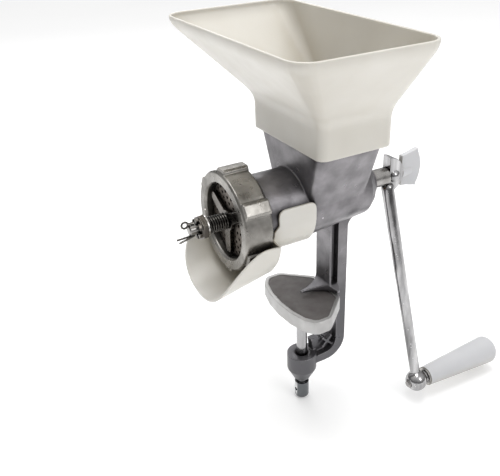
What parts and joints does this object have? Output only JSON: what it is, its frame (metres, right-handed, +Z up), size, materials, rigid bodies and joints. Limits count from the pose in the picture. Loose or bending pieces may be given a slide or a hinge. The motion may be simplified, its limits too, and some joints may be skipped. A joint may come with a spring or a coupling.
{
  "type": "hand-cranked pellet mill",
  "caption": "Table-clamped hand mill with a flared hopper, feed screw, die plate with sprung cutter, outlet chute and crank.",
  "frame": {"origin": "centre of the upper clamp jaw's flat underside, where the clamp screw's axis meets it", "axes": "+Z up, +X along the barrel from the outlet towards the crank, +Y across the barrel"},
  "size_m": [0.3178, 0.217, 0.374],
  "materials": {
    "casting": "cast and tumbled",
    "ring": "cast, turned on the front",
    "bush": "machined",
    "steel": "zinc plated",
    "crank_steel": "bright plated",
    "die_steel": "ground",
    "cutter_steel": "dark tempered",
    "hopper_plastic": "smooth",
    "chute_plastic": "smooth",
    "grip_plastic": "smooth",
    "washer_plastic": "plain",
    "liner": "ribbed"
  },
  "bodies": {
    "frame": {"body_casting": "casting", "rear_bush": "bush", "plate_key": "steel", "die_plate": "die_steel", "thrust_washer": "washer_plastic"},
    "ring": {"ring_nut": "ring"},
    "hopper": {"hopper": "hopper_plastic"},
    "chute": {"chute": "chute_plastic"},
    "drive": {"auger": "steel", "cutter_spring": "steel", "spring_washer": "steel", "castle_nut": "steel", "split_pin": "steel", "crank_arm": "crank_steel", "hub_screw": "crank_steel", "grip_washer": "steel", "grip_pin": "steel"},
    "cutter": {"cutter": "cutter_steel"},
    "grip": {"grip": "grip_plastic"},
    "pad": {"clamp_pad": "casting", "pad_liner": "liner", "pad_retainer": "steel"},
    "screw": {"clamp_screw": "crank_steel"},
    "wing_stud": {"wing_stud": "steel"},
    "wing_knob": {"wing_knob": "grip_plastic"}
  },
  "joints": [
    {"name": "crank_turn", "type": "hinge", "parent": "frame", "child": "drive", "pos_m": [0, 0, 0.098], "axis": [1, 0, 0], "continuous": true},
    {"name": "cutter_float", "type": "slide", "parent": "drive", "child": "cutter", "axis": [-1, 0, 0], "range_m": [0, 0.002], "stiffness_N_per_m": 2000, "springref_m": -0.004, "deforming": ["cutter_spring"]},
    {"name": "grip_spin", "type": "hinge", "parent": "drive", "child": "grip", "pos_m": [0.15, -0.06156, -0.10591], "axis": [1, 0, 0], "continuous": true},
    {"name": "wing_travel", "type": "slide", "parent": "drive", "child": "wing_stud", "axis": [1, 0, 0], "range_m": [0, 0.012]},
    {"name": "wing_turn", "type": "hinge", "parent": "wing_stud", "child": "wing_knob", "pos_m": [0.12, 0, 0.098], "axis": [-1, 0, 0], "continuous": true},
    {"name": "ring_turn", "type": "hinge", "parent": "frame", "child": "ring", "pos_m": [-0.065, 0, 0.098], "axis": [-1, 0, 0], "range_deg": [0, 1575]},
    {"name": "hopper_lift", "type": "slide", "parent": "frame", "child": "hopper", "axis": [0, 0, 1], "range_m": [0, 0.05]},
    {"name": "chute_drop", "type": "slide", "parent": "frame", "child": "chute", "axis": [0, 0, -1], "range_m": [0, 0.05]},
    {"name": "pad_travel", "type": "slide", "parent": "frame", "child": "pad", "axis": [0, 0, 1], "range_m": [-0.029, 0.0015]},
    {"name": "screw_turn", "type": "hinge", "parent": "pad", "child": "screw", "pos_m": [0, 0, -0.096], "axis": [0, 0, 1], "continuous": true}
  ],
  "couplings": [
    {"joint": "screw_turn", "follows": "pad_travel", "rad_per_m": 3141.6},
    {"joint": "wing_turn", "follows": "wing_travel", "rad_per_m": 6283.2}
  ]
}
